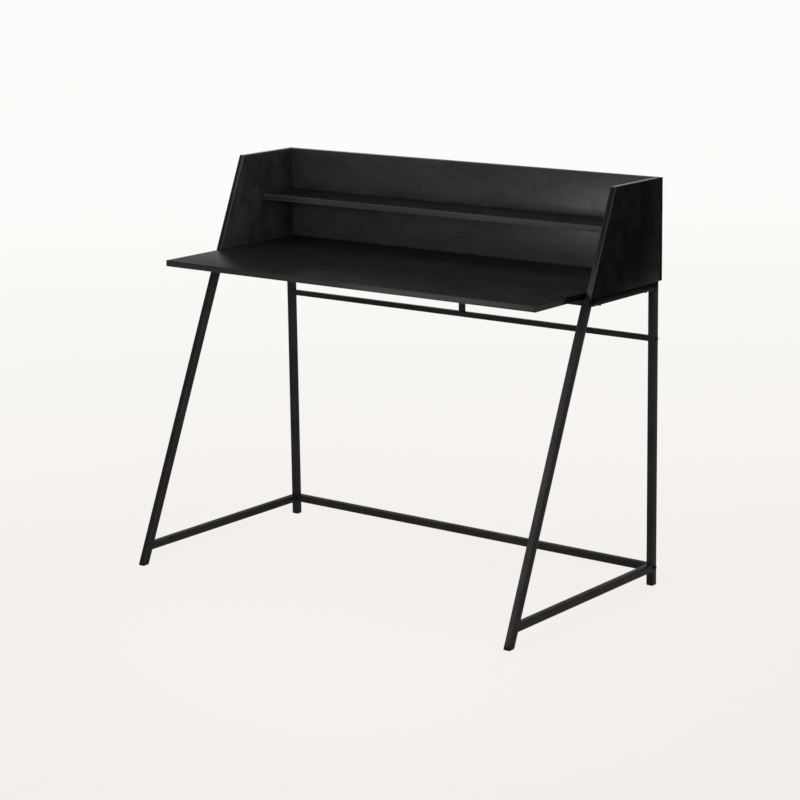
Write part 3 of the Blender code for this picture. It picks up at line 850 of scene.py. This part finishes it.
# %% One bead along X, at the origin
BEAD_LENGTH = 0.0145
BEAD_RADIUS = 0.0019
BEAD_SIDES = 10
BEAD_RINGS = 13
BEAD_WAIST = 0.80           # every other ring is drawn in to this part of its size
BEAD_END = BEAD_RADIUS / 3  # inset that keeps the ends full under the subdivision
SAME_RING = 0.01            # how far apart the ends of an edge on a ring may be, in ring spacings


def start_round(name, radius, length, sides, turn=(0.0, 0.0, 0.0)):
    """A cylinder about the origin."""
    deselect_all()
    bpy.ops.mesh.primitive_cylinder_add(vertices=sides, radius=radius, depth=length, rotation=turn)
    return settle(bpy.context.active_object, name)


def apply_modifier(piece, kind, **settings):
    """Add a modifier, set it up and apply it."""
    modifier = piece.modifiers.new(kind.lower(), kind)
    for key, value in settings.items():
        setattr(modifier, key, value)
    deselect_all()
    piece.select_set(True)
    bpy.context.view_layer.objects.active = piece
    bpy.ops.object.modifier_apply(modifier=modifier.name)


def ring_number(edge):
    """Which ring of the bead an edge lies on, counted from its middle, or None for one between rings."""
    start, end = (vert.co.x / BEAD_LENGTH * (BEAD_RINGS + 1) for vert in edge.verts)
    return round(start) if abs(start - end) < SAME_RING else None


def weld_bead():
    bead = start_round("weld_bead", BEAD_RADIUS, BEAD_LENGTH, BEAD_SIDES, (0.0, QUARTER_TURN, 0.0))
    pick(bead, "EDGE", lambda edge: runs_along(edge, AXES[0]))
    bpy.ops.mesh.subdivide(number_cuts=BEAD_RINGS)
    pick(bead, "EDGE", lambda edge: ring_number(edge) is not None and ring_number(edge) % 2 == 1)
    bpy.ops.transform.resize(value=(1.0, BEAD_WAIST, BEAD_WAIST))
    pick(bead, "FACE", lambda face: faces_towards(face, AXES[0]) or faces_towards(face, -AXES[0]))
    bpy.ops.mesh.inset(thickness=BEAD_END)
    leave_edit()
    apply_modifier(bead, "SUBSURF", levels=1, render_levels=1)
    return bead


bead = weld_bead()
print("weld bead:", len(bead.data.polygons), "faces")


# %% Corners that carry a bead
def leg_rear_y(leg_low, tube_size, z):
    """Rear face of a raked front leg at a height."""
    return leg_low[1] + (z - leg_low[2]) * math.tan(LEG_RAKE) + tube_size / math.cos(LEG_RAKE)


def welded_corners(side):
    """Inner corners of one side frame that carry a bead: name, y and z."""
    leg_low, leg_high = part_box(side + "_front_leg")
    rear_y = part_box(side + "_rear_leg")[0][1]
    tube_size = leg_high[0] - leg_low[0]
    corners = {}
    for level, edges in (("top", ("under",)), ("lower", ("under", "over"))):
        rail_low, rail_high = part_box(f"{side}_{level}_rail")
        for edge in edges:
            z = rail_low[2] if edge == "under" else rail_high[2]
            corners[f"{level}_rail_front_{edge}"] = (leg_rear_y(leg_low, tube_size, z), z)
            corners[f"{level}_rail_rear_{edge}"] = (rear_y, z)
    return corners


print("beads on the left frame:", ", ".join(welded_corners("left")))


# %% Copies of the bead
def copy_to(original, name, place):
    """A copy with its own mesh, moved by a matrix that ends up in the mesh."""
    twin = original.copy()
    twin.data = original.data.copy()
    bpy.context.scene.collection.objects.link(twin)
    twin.matrix_world = place
    deselect_all()
    twin.select_set(True)
    bpy.context.view_layer.objects.active = twin
    return settle(twin, name)


bead_count = 0
for side in ("left", "right"):
    leg_low, leg_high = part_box(side + "_rear_leg")
    for corner_name, (y, z) in welded_corners(side).items():
        place = Matrix.Translation(((leg_low[0] + leg_high[0]) / 2, y, z))
        weld = copy_to(bead, f"{side}_{corner_name}_weld", place)
        finish_piece(weld, coat, "frame_coating")
        bead_count += 1
bpy.data.objects.remove(bead, do_unlink=True)
print("weld beads:", bead_count)

# %% [markdown]
# ## Boards
# Each board is a plain panel whose cut edges are closed by a band. A single box with rounded edges would
# look alike from afar, but close up the seam between foil and band shows. So the core stops short of its
# banded edges by the thickness of the band, with a tiny arris all round, and the bands are pieces of their
# own. The worktop's bands are the thicker ones, with crisp corners. The thinner ones of the hutch have
# their corners rounded over by almost their whole thickness, and these are marked for a painted highlight.

# %% Board cores
ARRIS = 0.00015             # softened edge of the foil beside a seam
ARRIS_STEPS = 2


def soften(piece):
    """Break every edge of a board by a tiny arris."""
    round_edges(piece, lambda edge: True, ARRIS, ARRIS_STEPS)
    leave_edit()


def board_core(name, low, high):
    piece = start_box(name, low, high)
    soften(piece)
    return piece


print("arris:", millimetres((ARRIS,)), "mm")

# %% Corners of the edge bands
ON_PLANE = 0.00001          # metres by which a point may miss a plane
FLAT_LEAN = 0.995           # cosine above which a face is the flat of a band
SIDE_LEAN = 0.05            # and below which it is a side
LEFT_LEAN = -0.1            # a corner that looks further left than this gets a weaker painted highlight
LEFT_CORNER_HIGHLIGHT = 0.25           # strength of the painted highlight on corners that look left, away from the lamps on the right


def on_plane(edge, point, normal):
    return all(abs((vert.co - point).dot(normal)) < ON_PLANE for vert in edge.verts)


def mark_band_highlight(piece, outward, flat=0.0):
    """Mark the faces of the rounded corners for a painted highlight, and by less the flat face between
    them.
    """
    corner = piece.data.attributes.new(PAINTED_BAND_HIGHLIGHT, "FLOAT", "FACE")
    for face, mark in zip(piece.data.polygons, corner.data):
        lean = face.normal.dot(outward)
        if lean > FLAT_LEAN:
            mark.value = flat
        elif lean > SIDE_LEAN:
            # corners that look left get less of the painted highlight
            mark.value = LEFT_CORNER_HIGHLIGHT if face.normal.x < LEFT_LEAN else 1.0


print("corners to the left are", LEFT_CORNER_HIGHLIGHT, "as pale as the others")

# %% Edge bands
DESK_BAND = 0.0025
HUTCH_BAND = 0.0020
DESK_ROUND = 0.3            # part of the worktop band's thickness that is rounded over
HUTCH_ROUND = 0.95          # and of the hutch's bands


def edge_band(name, low, high, outward, flat=0.0):
    """A strip with the four edges of its outer face rounded over."""
    piece = start_box(name, low, high)
    middle = (Vector(low) + Vector(high)) / 2
    reach = max(Vector(low).dot(outward), Vector(high).dot(outward))
    outer = middle + outward * (reach - middle.dot(outward))
    thickness = 2 * (outer - middle).length
    hutch = thickness < (DESK_BAND + HUTCH_BAND) / 2
    radius = thickness * (HUTCH_ROUND if hutch else DESK_ROUND)
    round_edges(piece, lambda edge: on_plane(edge, outer, outward), radius)
    leave_edit()
    # only the hutch's thin bands get the painted highlight on their corners
    if hutch:
        mark_band_highlight(piece, outward, flat)
    finish_piece(piece, edge_plastic, "black_laminate")


print("bands:", millimetres((DESK_BAND, HUTCH_BAND)), "mm thick")

# %% Worktop
desk_low, desk_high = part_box("desktop")
worktop = board_core("worktop_board", desk_low + Vector((DESK_BAND, DESK_BAND, 0.0)),
                     desk_high - Vector((DESK_BAND, 0.0, 0.0)))
finish_piece(worktop, foil_along_width, "black_laminate", "desktop")
edge_band("worktop_front_band", desk_low, (desk_high[0], desk_low[1] + DESK_BAND, desk_high[2]), -AXES[1])
edge_band("worktop_left_band", desk_low + Vector((0.0, DESK_BAND, 0.0)),
          (desk_low[0] + DESK_BAND, desk_high[1], desk_high[2]), -AXES[0])
edge_band("worktop_right_band", (desk_high[0] - DESK_BAND, desk_low[1] + DESK_BAND, desk_low[2]),
          desk_high, AXES[0])
print("worktop:", millimetres(desk_high - desk_low), "mm")

# %% Shelf
SHELF_FLAT_HIGHLIGHT = 0.30           # share of the painted highlight grey that is also painted on the flat of the shelf's band

shelf_low, shelf_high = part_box("shelf")
shelf = board_core("shelf_board", shelf_low + Vector((0.0, HUTCH_BAND, 0.0)), shelf_high)
finish_piece(shelf, foil_along_width, "black_laminate", "shelf")
edge_band("shelf_front_band", shelf_low, (shelf_high[0], shelf_low[1] + HUTCH_BAND, shelf_high[2]),
          -AXES[1], SHELF_FLAT_HIGHLIGHT)
print("shelf:", millimetres(shelf_high - shelf_low), "mm")

# %% [markdown]
# ## Side panels
# A side panel's front edge follows the front leg, so its outline is a box with one sloped side. The front
# corners could be slid into place, but a cut at the leg's own rake cannot miss it. The front band is a thin
# bar turned to the rake and cut level at both ends, and a second band lies along the top.

# %% Raked boards and their front bands
BAND_BLANK = 3.0            # length of the uncut front band, in half heights of the panel


def side_panel(side, low, high, front):
    core = start_box(side + "_panel_board", low, high - Vector((0.0, 0.0, HUTCH_BAND)))
    cut_away(core, front + RAKE_NORMAL * HUTCH_BAND, RAKE_NORMAL, True)
    soften(core)
    finish_piece(core, foil_upright, "black_laminate", side + "_side_panel")


def raked_band(name, low, high, front):
    half_height = (high[2] - low[2]) / 2
    middle = front + RAKE_AXIS * (half_height / math.cos(LEG_RAKE)) + RAKE_NORMAL * (HUTCH_BAND / 2)
    middle.x = (low[0] + high[0]) / 2
    piece = start_raked_box(name, middle, (high[0] - low[0], HUTCH_BAND, BAND_BLANK * half_height))
    cut_away(piece, low, AXES[2], True)
    cut_away(piece, high, AXES[2], False)
    round_edges(piece, lambda edge: on_plane(edge, front, RAKE_NORMAL), HUTCH_BAND * HUTCH_ROUND)
    leave_edit()
    mark_band_highlight(piece, -RAKE_NORMAL)
    finish_piece(piece, edge_plastic, "black_laminate")


print("front bands lean by", round(math.degrees(LEG_RAKE), 1), "degrees")


# %% Bands along the top, and the two side panels
def top_band(name, low, high, front):
    """Band along a side panel's top, sawn to the rake behind the front band."""
    piece = start_box(name, (low[0], low[1], high[2] - HUTCH_BAND), high)
    cut_away(piece, front + RAKE_NORMAL * HUTCH_BAND, RAKE_NORMAL, True)
    top = Vector((0.0, 0.0, high[2]))
    round_edges(piece, lambda edge: on_plane(edge, top, AXES[2]) and runs_along(edge, AXES[1]),
                HUTCH_BAND * HUTCH_ROUND)
    leave_edit()
    mark_band_highlight(piece, AXES[2])
    finish_piece(piece, edge_plastic, "black_laminate")


for side in ("left", "right"):
    panel_low, panel_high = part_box(side + "_side_panel")
    panel_front = Vector((0.0, panel_low[1], panel_low[2]))
    side_panel(side, panel_low, panel_high, panel_front)
    raked_band(side + "_panel_front_band", panel_low, panel_high, panel_front)
    top_band(side + "_panel_top_band", panel_low, panel_high, panel_front)
print("side panels: 2, each in a box of", millimetres(panel_high - panel_low), "mm")

# %% [markdown]
# ## Back panel
# The back panel is screwed on from behind, and each screw head sits in a round counterbore. The bores could
# be painted on as dark rings, but they are seen from close by on the back, so they are cut with a cylinder
# and a Boolean modifier, which is applied. Where the Boolean leaves a fifth corner on a bore's wall, the
# wall is cut into triangles here, because a corner in the middle of a straight edge can otherwise leave a
# triangle with no area.

# %% Counterbores
BORE_CLEARANCE = 0.0003
BORE_SIDES = 40
BACK_HEAD_HEIGHT = 0.002
SPLIT_CORNERS = 5           # corners of a four-sided wall that the Boolean gave one more


def nodes_with(test):
    """Names of the CAD nodes that pass a test, in order."""
    return [name for name in sorted(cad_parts) if test(name)]


def cut_with(piece, cutter):
    """Take one piece out of another with a Boolean, and throw the cutter away."""
    apply_modifier(piece, "BOOLEAN", operation="DIFFERENCE", object=cutter, solver="EXACT")
    bpy.data.objects.remove(cutter, do_unlink=True)


def counterbore(piece, surface_y, screw_low, screw_high):
    """A round hole from a panel's rear surface down to the seat of a screw's head."""
    seat = screw_high[1] - BACK_HEAD_HEIGHT - BORE_CLEARANCE
    radius = (screw_high[0] - screw_low[0]) / 2 + BORE_CLEARANCE
    depth = 2 * (surface_y - seat)
    drill = start_round("drill", radius, depth, BORE_SIDES, (QUARTER_TURN, 0.0, 0.0))
    drill.location = ((screw_low[0] + screw_high[0]) / 2, surface_y, (screw_low[2] + screw_high[2]) / 2)
    cut_with(piece, drill)


def mend_split_walls(piece):
    """Cut the walls that have a fifth corner into triangles."""
    pick(piece, "FACE", lambda face: len(face.verts) == SPLIT_CORNERS)
    bpy.ops.mesh.quads_convert_to_tris(quad_method="BEAUTY", ngon_method="BEAUTY")
    leave_edit()


BACK_SCREWS = nodes_with(lambda name: name.startswith("back_to_"))
print("screws through the back panel:", len(BACK_SCREWS))

# %% Back panel and its bands
BACK_FLAT_HIGHLIGHT = 0.6             # share of the painted highlight grey that is also painted on the flats of the bands at the panel's ends

back_low, back_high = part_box("back_panel")
back = board_core("back_panel_board", back_low + Vector((HUTCH_BAND, 0.0, 0.0)),
                  back_high - Vector((HUTCH_BAND, 0.0, HUTCH_BAND)))
for node_name in BACK_SCREWS:
    counterbore(back, back_high[1], *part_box(node_name))
mend_split_walls(back)
finish_piece(back, foil_along_width, "black_laminate", "back_panel")
edge_band("back_panel_top_band", (back_low[0], back_low[1], back_high[2] - HUTCH_BAND), back_high, AXES[2])
edge_band("back_panel_left_band", back_low,
          (back_low[0] + HUTCH_BAND, back_high[1], back_high[2] - HUTCH_BAND), -AXES[0], BACK_FLAT_HIGHLIGHT)
edge_band("back_panel_right_band", (back_high[0] - HUTCH_BAND, back_low[1], back_low[2]),
          (back_high[0], back_high[1], back_high[2] - HUTCH_BAND), AXES[0], BACK_FLAT_HIGHLIGHT)
print("back panel:", millimetres(back_high - back_low), "mm")

# %% [markdown]
# ## Feet
# Each leg ends in a moulded foot: a cap a little wider than the tube, rounded underneath, with a spigot
# inside the tube. The front feet lean with the leg. Shear needs a window, so the box's top face is slid
# back instead, which gives the same lean. Inset and extrude then raise the spigot and hollow the underside.

# %% One foot
FOOT_HEAD = 0.008
FOOT_FLARE = 0.0004
FOOT_CORNER = 0.0033
FOOT_UNDER = 0.0026
SPIGOT = 0.018
SPIGOT_INSET = 0.0024
DISH_INSET = 0.0005
DISH_DEPTH = 0.0006
FLOOR_POINT = Vector((0.0, 0.0, 0.0))


def foot(name, x, y_front, y_rear, half_width, slope):
    low = (x - half_width - FOOT_FLARE, y_front - FOOT_FLARE, 0.0)
    high = (x + half_width + FOOT_FLARE, y_rear + FOOT_FLARE, FOOT_HEAD)
    piece = start_box(name, low, high)
    pick(piece, "FACE", lambda face: faces_towards(face, AXES[2]))
    bpy.ops.transform.translate(value=(0.0, slope * FOOT_HEAD, 0.0))
    upright = Vector((0.0, slope, 1.0)).normalized()
    round_edges(piece, lambda edge: runs_along(edge, upright), FOOT_CORNER)
    round_edges(piece, lambda edge: on_plane(edge, FLOOR_POINT, AXES[2]), FOOT_UNDER)
    pick(piece, "FACE", lambda face: faces_towards(face, -AXES[2]))
    bpy.ops.mesh.inset(thickness=DISH_INSET)
    bpy.ops.transform.translate(value=(0.0, 0.0, DISH_DEPTH))
    pick(piece, "FACE", lambda face: faces_towards(face, AXES[2]))
    bpy.ops.mesh.inset(thickness=SPIGOT_INSET)
    bpy.ops.mesh.extrude_region_move(TRANSFORM_OT_translate={"value": (0.0, slope * SPIGOT, SPIGOT)})
    leave_edit()
    return piece


print("foot:", millimetres((FOOT_HEAD, SPIGOT)), "mm of head and spigot")

# %% Four feet
for side in ("left", "right"):
    leg_low, leg_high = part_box(side + "_front_leg")
    half_tube = (leg_high[0] - leg_low[0]) / 2
    middle_x = (leg_high[0] + leg_low[0]) / 2
    toe = leg_low[1] - leg_low[2] * math.tan(LEG_RAKE)
    heel = toe + 2 * half_tube / math.cos(LEG_RAKE)
    front_foot = foot(side + "_front_cap", middle_x, toe, heel, half_tube, math.tan(LEG_RAKE))
    finish_piece(front_foot, foot_plastic, "black_plastic", side + "_front_foot")
    rear_low, rear_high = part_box(side + "_rear_leg")
    rear_foot = foot(side + "_rear_cap", middle_x, rear_low[1], rear_high[1], half_tube, 0.0)
    finish_piece(rear_foot, foot_plastic, "black_plastic", side + "_rear_foot")
print("feet: 4, toes at y", round(toe, 4))

# %% [markdown]
# ## Frame bolts
# Three bolts on each side hold the cross rails. They have low domed heads with a hexagon socket. A dome
# could be a squashed sphere, but a real button head has a flat round the socket, so a cylinder's rim is
# bevelled in six steps. The shank is inset and extruded from the underside, and the socket is cut by a
# Boolean.

# %% Pins with a round head
DOME_STEPS = 6
PIN_POINT = 0.5             # length of the point and radius of its end, as parts of the shank's radius


def draw_out(length):
    """Extrude the picked face straight down."""
    bpy.ops.mesh.extrude_region_move(TRANSFORM_OT_translate={"value": (0.0, 0.0, -length)})


def headed_pin(name, head_radius, head_height, dome, shank_radius, length):
    """A round head with its underside at zero, and a shank below it with a chamfered point."""
    piece = start_round(name, head_radius, head_height, BORE_SIDES)
    pick_all(piece)
    bpy.ops.transform.translate(value=(0.0, 0.0, head_height / 2))
    top = Vector((0.0, 0.0, head_height))
    round_edges(piece, lambda edge: on_plane(edge, top, AXES[2]), dome, DOME_STEPS)
    pick(piece, "FACE", lambda face: faces_towards(face, -AXES[2]))
    bpy.ops.mesh.inset(thickness=head_radius - shank_radius)
    draw_out(length - shank_radius * PIN_POINT)
    draw_out(shank_radius * PIN_POINT)
    bpy.ops.transform.resize(value=(PIN_POINT, PIN_POINT, 1.0))
    leave_edit()
    return piece


print("pin heads are domed in", DOME_STEPS, "steps")

# %% One bolt, with its head up
BOLT_HEAD_RADIUS = 0.0055
BOLT_HEAD_HEIGHT = 0.0033
BOLT_RADIUS = 0.003
BOLT_LENGTH = 0.038
BOLT_DOME = 0.0024
SOCKET_RADIUS = 0.0023
SOCKET_DEPTH = 0.002
SOCKET_SIDES = 6

bolt = headed_pin("frame_bolt", BOLT_HEAD_RADIUS, BOLT_HEAD_HEIGHT, BOLT_DOME, BOLT_RADIUS, BOLT_LENGTH)
socket = start_round("socket", SOCKET_RADIUS, 2 * SOCKET_DEPTH, SOCKET_SIDES)
socket.location = (0.0, 0.0, BOLT_HEAD_HEIGHT)
cut_with(bolt, socket)
print("frame bolt:", len(bolt.data.polygons), "faces")


# %% Six copies of the bolt
def stand_at(point, direction):
    """Matrix that puts a pin's underside at a point, with its head towards a direction."""
    return Matrix.Translation(point) @ AXES[2].rotation_difference(direction).to_matrix().to_4x4()


BOLTS = nodes_with(lambda name: name.endswith("_bolt"))
for node_name in BOLTS:
    low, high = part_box(node_name)
    on_right = node_name.startswith("right")
    outward = AXES[0] if on_right else -AXES[0]
    face_x = high[0] - BOLT_HEAD_HEIGHT if on_right else low[0] + BOLT_HEAD_HEIGHT
    place = stand_at((face_x, (low[1] + high[1]) / 2, (low[2] + high[2]) / 2), outward)
    finish_piece(copy_to(bolt, "button_" + node_name, place), bolt_steel, "black_fastener", node_name)
bpy.data.objects.remove(bolt, do_unlink=True)
print("frame bolts:", len(BOLTS))

# %% [markdown]
# ## Screws
# Zinc screws come through the back panel, and black ones come up through the rails. Their pan heads have a
# cross recess. It could be left out at this size, but a bare disc does not read as a screw, so two crossed
# bars are taken out of the head. Each kind is modelled once and copied to its places.

# %% Cross-headed screws
CROSS_LENGTH = 1.15         # length of the recess, as a part of the head's radius
CROSS_WIDTH = 0.22          # and its width
CROSS_DEPTH = 0.75          # its depth, as a part of the head's height


def cross_screw(name, head_radius, head_height, shank_radius, length):
    piece = headed_pin(name, head_radius, head_height, head_height / 2, shank_radius, length)
    reach = head_radius * CROSS_LENGTH / 2
    half = head_radius * CROSS_WIDTH / 2
    floor_z = head_height * (1.0 - CROSS_DEPTH)
    for width, depth in ((reach, half), (half, reach)):
        cut_with(piece, start_box("cross_bar", (-width, -depth, floor_z), (width, depth, 2 * head_height)))
    return piece


def fit_screws(nodes, axis, sign, head_height, shank_radius, finish, slot):
    """Model a screw from the first node's size and copy it to all of them, its head along an axis."""
    low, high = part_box(nodes[0])
    across = (axis + 1) % 3
    head_radius = (high[across] - low[across]) / 2
    length = high[axis] - low[axis] - head_height
    model = cross_screw("screw", head_radius, head_height, shank_radius, length)
    for name in nodes:
        low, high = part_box(name)
        seat = (low + high) / 2
        seat[axis] = high[axis] - head_height if sign > 0 else low[axis] + head_height
        screw = copy_to(model, "cross_" + name, stand_at(seat, AXES[axis] * sign))
        finish_piece(screw, finish, slot, name)
    bpy.data.objects.remove(model, do_unlink=True)
    return len(nodes)


print("cross recess:", CROSS_DEPTH, "of the head's height")

# %% Screws in their places
BACK_SHANK_RADIUS = 0.0025
RAIL_HEAD_HEIGHT = 0.0024
RAIL_SHANK_RADIUS = 0.002

PANEL_SCREWS = nodes_with(lambda name: "_panel_screw_" in name)
DESKTOP_SCREWS = nodes_with(lambda name: name.startswith("desktop_screw_"))
screw_count = fit_screws(BACK_SCREWS, 1, 1, BACK_HEAD_HEIGHT, BACK_SHANK_RADIUS, screw_zinc, "zinc_steel")
for rail_screws in (PANEL_SCREWS, DESKTOP_SCREWS):
    screw_count += fit_screws(rail_screws, 2, -1, RAIL_HEAD_HEIGHT, RAIL_SHANK_RADIUS,
                              bolt_steel, "black_fastener")
print("screws:", screw_count)

# %% [markdown]
# ## Pieces that stay as CAD solids
# The dowels, the threaded blocks and the post's plug lie inside other pieces or under the worktop. They
# could be modelled again too, but their shapes are right as they are. They keep their meshes and only get
# their finishes, through their own material slots.

# %% Finishes of the hidden nodes
HIDDEN = {"_dowel_": dowel_beech, "_nut": screw_zinc, "_plug": foot_plastic}


def refinish(name, material):
    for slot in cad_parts[name].material_slots:
        slot.material = material


for node_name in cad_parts:
    for part_of_name, material in HIDDEN.items():
        if part_of_name in node_name:
            refinish(node_name, material)
shown = [name for name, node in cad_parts.items() if not node.hide_render]
print("CAD nodes that stay:", ", ".join(sorted(shown)))

# %% [markdown]
# ## Lamps that reach only some pieces
# In the picture the right half of the back panel, the strips that face the camera, the front legs and some
# rails carry a soft glow, and the left end of the back panel is a little lighter than the other lamps make
# it. Left to themselves, lamps for these would also show as white patches on the worktop when the desk is
# seen from behind. In a studio a small card would hide each lamp from what it must not reach. Blender's
# light linking does the same: each of these lamps has a collection of the pieces that receive it. This
# comes after the modelling, because the pieces have to exist first.

# %% Pieces that receive each of these lamps
RECEIVERS = {
    "panel_glow": ("back_panel_board",),
    "edge_glow": ("shelf_front_band",),
    "worktop_glow": ("worktop_front_band",),
    "leg_glow": ("coated_left_front_leg", "coated_right_front_leg"),
    "corner_light": ("back_panel_board",),
    "strip_glow": ("right_panel_front_band",),
    "rail_glow": ("coated_left_lower_rail", "coated_right_lower_rail", "coated_rear_lower_rail",
                  "coated_rear_upper_rail"),
}


def link_light(lamp_name, piece_names):
    receivers = bpy.data.collections.new(lamp_name + "_receivers")
    for piece_name in piece_names:
        receivers.objects.link(bpy.data.objects[piece_name])
    bpy.data.objects[lamp_name].light_linking.receiver_collection = receivers


for lamp_name, piece_names in RECEIVERS.items():
    link_light(lamp_name, piece_names)
print("linked lamps:", ", ".join(RECEIVERS))
